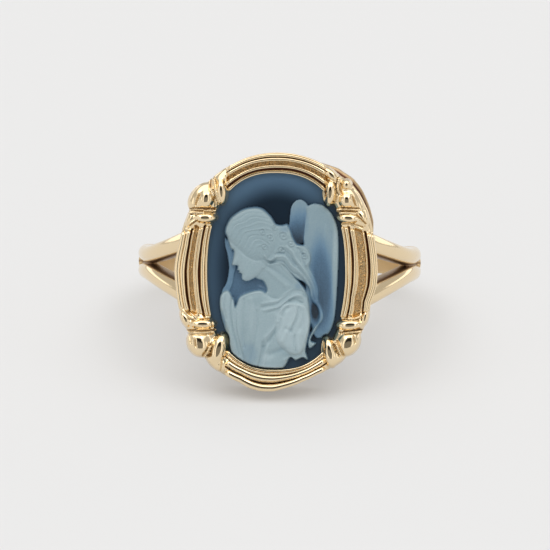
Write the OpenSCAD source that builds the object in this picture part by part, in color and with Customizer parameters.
// Cameo ring lying on its side: a gold mount with a split shank and an oval
// ribbon frame, around a two-layer cameo carved with a praying angel.

/* [Shank] */
// Inside diameter of the finger hole
finger_d = 17.3; // [15:0.1:21]
// Thickness of the band at its crown
band_t = 1.3; // [1:0.05:1.8]
// Height of the band, along the finger
band_h = 2.1; // [1.8:0.1:2.6]
// Rise of the band's crown over its edges
band_crown = 0.45; // [0.2:0.05:0.7]
// Width of each arm of the split shoulders
arm_w = 1.1; // [0.9:0.05:1.3]
// Rise of an arm's crown over its edges
arm_crown = 0.3; // [0.15:0.05:0.5]
// Angle past the side of the band where the arms begin
arm_start = 8; // [5:1:12]
// Slope of an arm away from the middle of the band
arm_slope = 13.8; // [11:0.2:16]
// Extra radius of the curve that lifts the arms up to the head
arm_flare = 2.5; // [1.5:0.1:4]

/* [Stone] */
// Width of the cut stone
stone_w = 10; // [8:0.5:12]
// Length of the cut stone
stone_l = 14; // [12:0.5:16]
// Squareness of the stone's oval, where 2 is an ellipse
stone_square = 2.45; // [2:0.05:3]
// Thickness of the dark layer
ground_t = 1.2; // [0.8:0.1:1.8]
// Height of the carving over the dark layer
figure_t = 0.95; // [0.6:0.05:1.3]

/* [Setting] */
// Gap between the stone and the metal
stone_gap = 0.05; // [0.02:0.01:0.1]
// How far the bezel lip reaches over the stone's edge
lip_over = 0.33; // [0.2:0.01:0.5]
// Width of the frame at the sides
frame_side_w = 2.27; // [1.8:0.01:2.8]
// Width of the frame at the two ends
frame_end_w = 1.48; // [1.2:0.01:2]
// Height of the frame's ridges over the stone's dark layer
frame_rise = 0.95; // [0.7:0.05:1.3]
// Depth of the frame's plain outer edge
frame_edge = 0.5; // [0.3:0.05:0.8]
// How far the gallery wall stands in from the frame's edge
gallery_in = 0.15; // [0.1:0.01:0.4]
// Width of the ledge under the stone
ledge_w = 0.9; // [0.6:0.1:1.4]
// Thickness of the ledge
ledge_t = 0.7; // [0.5:0.05:1]
// Height of the head's underside over the finger hole
head_lift = 0.4; // [0.3:0.05:0.8]
// Gap between the carving and the metal around it
figure_gap = 0.1; // [0.05:0.01:0.2]

/* [Hidden] */
$fn = 96;

// Heights in the head, counted from the finger's centre outwards
finger_r = finger_d / 2;
band_r = finger_r + band_t;
base_h = finger_r + head_lift;
seat_h = base_h + ledge_t;
ground_h = seat_h + stone_gap;
plate_h = ground_h + ground_t;
lip_h = plate_h + stone_gap;
foot_h = lip_h - frame_edge;

// Half-widths (a) and half-lengths (b) of the ovals in the head
stone_a = stone_w / 2;
stone_b = stone_l / 2;
pocket_a = stone_a + stone_gap;
pocket_b = stone_b + stone_gap;
open_a = stone_a - lip_over;
open_b = stone_b - lip_over;
frame_a = open_a + frame_side_w;
frame_b = open_b + frame_end_w;
gallery_a = frame_a - gallery_in;
gallery_b = frame_b - gallery_in;
back_a = stone_a - ledge_w;
back_b = stone_b - ledge_w;
frame_square = 2.05;
gallery_square = 2.25;

// Small fits between pieces that are soldered into one solid
sink = 0.25;
undercut = 0.08;
arm_under = 0.1;
arm_skip = 6;

// The ring lies on the lower edge of its head and the back edge of its band
band_edge_r = band_r - band_crown;
lean_on_gallery = atan((gallery_b - band_h / 2) / (base_h + band_edge_r));
lean_on_frame = atan((frame_b - band_h / 2) / (foot_h + band_edge_r));
lean = max(lean_on_gallery, lean_on_frame);
rest_z = band_edge_r * sin(lean) + band_h / 2 * cos(lean);
band_crown_r = (pow(band_h / 2, 2) + pow(band_crown, 2)) / (2 * band_crown);
arm_crown_r = (pow(arm_w / 2, 2) + pow(arm_crown, 2)) / (2 * arm_crown);
back_y = (band_r - band_crown_r) * cos(lean) + band_crown_r;
front_y = (lip_h + frame_rise) * cos(lean) + frame_b * sin(lean);
rest_y = (front_y - back_y) / 2;

// Section of the frame from the stone outwards: share across its width,
// height as a share of frame_rise
RAIL = [
    [0.00, 0.22], // inner edge of the bezel lip
    [0.04, 0.40],
    [0.14, 0.42],
    [0.19, 0.26],
    [0.22, 0.05], // groove
    [0.26, 0.52],
    [0.31, 0.62], // inner rail
    [0.35, 0.48],
    [0.38, 0.10], // sunk channel
    [0.60, 0.10],
    [0.64, 0.50],
    [0.68, 0.88],
    [0.73, 0.96], // inner one of the outer ridges
    [0.79, 0.84],
    [0.83, 0.62],
    [0.87, 0.80],
    [0.92, 0.84], // outer ridge
    [0.97, 0.60],
    [1.00, 0.20]
];

// Angles where each ribbon tie begins and ends, seen from the front
TIES = [
    [24, 67],
    [113, 156],
    [202, 247],
    [293, 338]
];
tie_blend = 3;
tie_bed = 0.45;
tie_step = 1.8;
rail_step = 4.6;
dome_power = 0.7;
blend_power = 5;

// Puffed lobes of the ties: x and y of the centre as shares of the frame's
// half-width and half-length, half-width and half-length of the lobe as
// shares of frame_side_w, lean to the left, and rise as a share of frame_rise
LOBES = [
    [-0.540, 0.650, 0.22, 0.43, 11, 1.05], // upper left, inner loop
    [-0.700, 0.622, 0.35, 0.48, -39, 1.10], // upper left, main puff
    [-0.690, 0.442, 0.38, 0.17, 0, 1.00], // upper left, lower puff
    [-0.830, 0.400, 0.20, 0.24, -20, 0.85], // upper left, tail
    [0.521, 0.658, 0.22, 0.45, -6, 1.05], // upper right, inner loop
    [0.700, 0.622, 0.35, 0.48, 39, 1.10], // upper right, main puff
    [0.700, 0.452, 0.37, 0.18, 0, 1.00], // upper right, lower puff
    [0.828, 0.415, 0.20, 0.24, 20, 0.85], // upper right, tail
    [-0.720, -0.436, 0.47, 0.15, 0, 1.00], // lower left, upper puff
    [-0.880, -0.385, 0.19, 0.26, 15, 0.85], // lower left, tail
    [-0.770, -0.610, 0.33, 0.43, 36, 1.10], // lower left, main puff
    [-0.562, -0.660, 0.25, 0.52, -15, 1.05], // lower left, inner loop
    [-0.605, -0.805, 0.25, 0.25, 0, 0.95], // lower left, skirt
    [0.752, -0.433, 0.40, 0.18, 0, 1.00], // lower right, upper puff
    [0.860, -0.385, 0.19, 0.26, -15, 0.85], // lower right, tail
    [0.720, -0.598, 0.31, 0.41, -38, 1.10], // lower right, main puff
    [0.533, -0.657, 0.24, 0.45, 12, 1.05], // lower right, inner loop
    [0.530, -0.765, 0.27, 0.25, 0, 0.95] // lower right, skirt
];

// Masses of the carving: x and y of the centre and the two half-sizes as
// shares of the opening's half-width and half-length, lean to the left,
// and height as a share of figure_t
MASSES = [
    [-0.300, 0.350, 0.440, 0.310, -12, 0.74], // head and crown of hair
    [-0.420, 0.180, 0.290, 0.250, -30, 0.70], // cheek and brow, bowed
    [0.020, 0.220, 0.400, 0.240, 35, 0.70], // hair behind the head
    [0.330, 0.510, 0.150, 0.240, -6, 0.34], // far wing
    [0.240, 0.290, 0.220, 0.220, 0, 0.30], // stone between hair and wings
    [0.690, 0.470, 0.260, 0.270, 0, 0.46], // near wing, shoulder
    [0.690, 0.060, 0.230, 0.660, 2, 0.36], // near wing, blade
    [0.290, 0.170, 0.260, 0.180, 30, 0.66], // knot of hair
    [0.400, 0.020, 0.150, 0.330, 18, 0.60], // locks down the back
    [0.560, -0.310, 0.130, 0.280, 6, 0.50], // end of the locks
    [0.060, -0.120, 0.440, 0.260, 35, 0.70], // neck and shoulder
    [-0.690, 0.080, 0.085, 0.330, 3, 0.26], // veil before the face
    [-0.450, -0.120, 0.300, 0.200, 0, 0.20], // thin stone under the chin
    [-0.690, -0.400, 0.170, 0.300, 10, 0.66], // joined hands
    [-0.520, -0.690, 0.260, 0.280, 18, 0.64], // forearms and cuffs
    [0.120, -0.480, 0.420, 0.340, 0, 0.86], // sleeve
    [-0.230, -0.580, 0.420, 0.420, 8, 0.72], // breast of the gown
    [-0.060, -0.800, 0.560, 0.240, 0, 0.62], // lower gown
    [0.330, -0.750, 0.230, 0.200, 0, 0.56] // right edge of the gown
];
figure_edge = 0.16;
figure_sides = 132;
figure_rings = 24;
figure_step = 0.05;
figure_core = 1.5;

// Radius of a squared oval at the angle t
function oval_r(a, b, n, t) = pow(pow(abs(cos(t)) / a, n) + pow(abs(sin(t)) / b, n), -1 / n);

// Point at the radius r and the angle t
function polar(r, t) = [r * cos(t), r * sin(t)];

// The point p seen from the middle of a tilted ellipse, in half-sizes
function in_ellipse(p, x, y, rx, ry, turn) = [
    ((p[0] - x) * cos(turn) + (p[1] - y) * sin(turn)) / rx,
    ((p[1] - y) * cos(turn) - (p[0] - x) * sin(turn)) / ry
];

// Height of a dome of that ellipse at the point p, from 0 to 1
function dome(p, x, y, rx, ry, turn) =
    let (q = in_ellipse(p, x, y, rx, ry, turn))
    pow(max(0, 1 - q * q), dome_power);

// The highest of several heights, with the creases between them softened
function blend(heights) = pow(soft_sum([for (h = heights) pow(h, blend_power)]), 1 / blend_power);
function soft_sum(list) = list * [for (v = list) 1];

// Where the ray at the angle t enters and leaves an ellipse, or an empty list
function ray_hits(t, x, y, rx, ry, turn) =
    let (
        near = in_ellipse([0, 0], x, y, rx, ry, turn),
        far = in_ellipse(polar(1, t), x, y, rx, ry, turn),
        step = far - near,
        a = step * step,
        b = -near * step,
        root = b * b - a * (near * near - 1)
    )
    root <= 0 || b <= 0 ? [] : [(b - sqrt(root)) / a, (b + sqrt(root)) / a];

// A lobe of the ties in millimetres: x, y, half-width, half-length, lean
function lobe_mm(l) = [l[0] * frame_a, l[1] * frame_b, l[2] * frame_side_w, l[3] * frame_side_w, l[4]];

// Inner and outer outline of the frame at the angle t, lobes included
function lobe_hits(t) = [
    for (row = LOBES)
        let (l = lobe_mm(row), hit = ray_hits(t, l[0], l[1], l[2], l[3], l[4]))
        if (len(hit) > 0) hit
];
function frame_in(t) = min(concat([oval_r(open_a, open_b, stone_square, t)], [for (h = lobe_hits(t)) h[0]]));
function frame_out(t) = max(concat([oval_r(frame_a, frame_b, frame_square, t)], [for (h = lobe_hits(t)) h[1]]));

// How far the angle t is inside a tie, from 0 on the rails to 1 on the tie
function tie_mask(t) = max([
    for (tie = TIES) max(0, min(1, (t - tie[0]) / tie_blend, (tie[1] - t) / tie_blend))
]);

// Height of the ties over the frame's lip level at a point, share s across
function tie_top(p, s) =
    let (
        bed = tie_bed * (1 - pow(abs(2 * s - 1), 6)),
        lobes = [
            for (row = LOBES)
                let (l = lobe_mm(row))
                row[5] * dome(p, l[0], l[1], l[2], l[3], l[4])
        ]
    )
    frame_rise * blend(concat([0.12, bed], lobes));

// Height of the frame's face at the angle t and the section row
function frame_top(t, row) =
    let (
        m = tie_mask(t),
        r = frame_in(t) + row[0] * (frame_out(t) - frame_in(t))
    )
    lip_h + (1 - m) * frame_rise * row[1] + (m > 0 ? m * tie_top(polar(r, t), row[0]) : 0);

// Closed section of the frame at the angle t
function frame_section(t) =
    let (
        r_in = frame_in(t),
        r_out = frame_out(t),
        r_pocket = oval_r(pocket_a, pocket_b, stone_square, t),
        face = [
            for (row = RAIL)
                let (r = r_in + row[0] * (r_out - r_in))
                [r * cos(t), r * sin(t), frame_top(t, row)]
        ],
        under = [
            [r_out * cos(t), r_out * sin(t), foot_h],
            [r_pocket * cos(t), r_pocket * sin(t), foot_h],
            [r_pocket * cos(t), r_pocket * sin(t), lip_h],
            [r_in * cos(t), r_in * sin(t), lip_h]
        ]
    )
    concat(face, under);

// Angles of the sections: close together on the ties, wider on the rails
function spread(from, to, step) =
    let (n = ceil((to - from) / step))
    [for (i = [0:n - 1]) from + (to - from) * i / n];
STATIONS = [
    for (i = [0:len(TIES) - 1])
        let (next = i == len(TIES) - 1 ? TIES[0][0] + 360 : TIES[i + 1][0])
        each concat(spread(TIES[i][0], TIES[i][1], tie_step), spread(TIES[i][1], next, rail_step))
];

// Triangles of a closed tube of n sections with m points each
function loop_faces(n, m) = [
    for (i = [0:n - 1])
        for (j = [0:m - 1])
            let (
                a = i * m + j,
                b = i * m + (j + 1) % m,
                c = (i + 1) % n * m + (j + 1) % m,
                d = (i + 1) % n * m + j
            )
            each [[a, c, b], [a, d, c]]
];

// Frame with its rails and ties, one closed loop
module frame() {
    sections = [for (t = STATIONS) frame_section(t % 360)];
    n = len(sections);
    m = len(sections[0]);
    polyhedron(points = [for (s = sections) each s], faces = loop_faces(n, m), convexity = 6);
}

// Upright prism on a squared oval
module oval_prism(a, b, square, from_h, to_h) {
    step = 360 / $fn;
    translate([0, 0, from_h])
        linear_extrude(to_h - from_h)
            polygon([for (i = [0:$fn - 1]) polar(oval_r(a, b, square, (i + 0.5) * step), (i + 0.5) * step)]);
}

// Gallery wall with the pocket for the stone, its ledge and the open back
module gallery() {
    difference() {
        oval_prism(gallery_a, gallery_b, gallery_square, base_h, foot_h + sink);
        oval_prism(pocket_a + undercut, pocket_b + undercut, stone_square, seat_h, foot_h + 2 * sink);
        oval_prism(back_a, back_b, stone_square, base_h - sink, seat_h + sink);
    }
}

// Rounded section of a metal strip whose crown lies at the radius r
module strip_section(r, w, crown_r, depth) {
    intersection() {
        translate([r - depth, -w / 2])
            square([depth + crown_r, w]);
        union() {
            translate([r - crown_r, 0])
                circle(crown_r);
            translate([r - 2 * depth, -w])
                square([2 * depth - crown_r, 2 * w]);
        }
    }
}

// Band round the back of the finger, up to both shoulders
module band() {
    reach = arm_start * 2;
    rotate([0, 0, -reach])
        rotate_extrude(angle = 180 + 2 * reach)
            strip_section(band_r, band_h, band_crown_r, 2 * band_t);
}

// Upper right arm, which climbs from the band into the gallery's ledge
module arm() {
    outer_r = band_r + arm_flare;
    centre = [-arm_flare * cos(arm_start), arm_flare * sin(arm_start), 0];
    end_h = seat_h - arm_under + arm_flare * sin(arm_start);
    reach = asin(end_h / outer_r / cos(arm_slope)) - arm_start;
    translate(centre)
        rotate([0, 0, -arm_start])
            rotate([-arm_slope, 0, 0])
                rotate([0, 0, -reach])
                    rotate_extrude(angle = reach - arm_skip)
                        strip_section(outer_r, arm_w, arm_crown_r, 3 * band_t);
}

// Band and four arms, with the finger hole through them
module shank() {
    difference() {
        union() {
            band();
            for (side = [0, 1])
                for (level = [0, 1])
                    mirror([side, 0, 0])
                        mirror([0, 0, level])
                            arm();
        }
        cylinder(h = 2 * band_r, r = finger_r, center = true);
    }
}

// Turns the head's own frame, with its height along z, to face the viewer
module as_head() {
    rotate([90, 0, 0])
        children();
}

// Lays the ring on its side, lowest edges on the ground and centred
module laid_down() {
    translate([0, rest_y, rest_z])
        rotate([-lean, 0, 0])
            children();
}

module ring_mount() {
    color("#d8b26a")
        laid_down() {
            shank();
            as_head()
                gallery();
            as_head()
                frame();
        }
}

module cameo_ground() {
    color("#22374c")
        laid_down()
            as_head()
                oval_prism(stone_a, stone_b, stone_square, ground_h, plate_h);
}

// A mass of the carving in millimetres: x, y, the two half-sizes, lean
function mass_mm(m) = [m[0] * open_a, m[1] * open_b, m[2] * open_a, m[3] * open_b, m[4]];

// Height of the carving at the point p, as a share of figure_t
function carving(p) = blend([
    for (row = MASSES)
        let (m = mass_mm(row))
        row[5] * dome(p, m[0], m[1], m[2], m[3], m[4])
]);

// Radius where the carving ends, searched inwards along the angle t
function carving_edge(t, r) =
    r < figure_core || carving(polar(r, t)) > 0 ? r : carving_edge(t, r - figure_step);

module cameo_figure() {
    step = 360 / figure_sides;
    edge = [for (i = [0:figure_sides - 1]) carving_edge(i * step, frame_in(i * step) - figure_gap)];
    rim_points = [for (i = [0:figure_sides - 1]) [edge[i] * cos(i * step), edge[i] * sin(i * step), plate_h]];
    face_points = [
        for (k = [0:figure_rings - 1])
            for (i = [0:figure_sides - 1])
                let (p = polar(edge[i] * (1 - k / figure_rings), i * step))
                [p[0], p[1], plate_h + figure_t * max(figure_edge, carving(p))]
    ];
    top_point = [0, 0, plate_h + figure_t * max(figure_edge, carving([0, 0]))];
    points = concat(rim_points, face_points, [top_point, [0, 0, plate_h]]);
    top_i = len(points) - 2;
    last_ring = figure_rings * figure_sides;
    walls = [
        for (k = [0:figure_rings - 1])
            for (i = [0:figure_sides - 1])
                let (
                    a = k * figure_sides + i,
                    b = k * figure_sides + (i + 1) % figure_sides,
                    c = b + figure_sides,
                    d = a + figure_sides
                )
                each [[a, c, b], [a, d, c]]
    ];
    caps = [
        for (i = [0:figure_sides - 1])
            let (next = (i + 1) % figure_sides)
            each [[last_ring + i, top_i, last_ring + next], [i, next, top_i + 1]]
    ];
    color("#a9bcc4")
        laid_down()
            as_head()
                polyhedron(points = points, faces = concat(walls, caps), convexity = 6);
}

ring_mount();
cameo_ground();
cameo_figure();
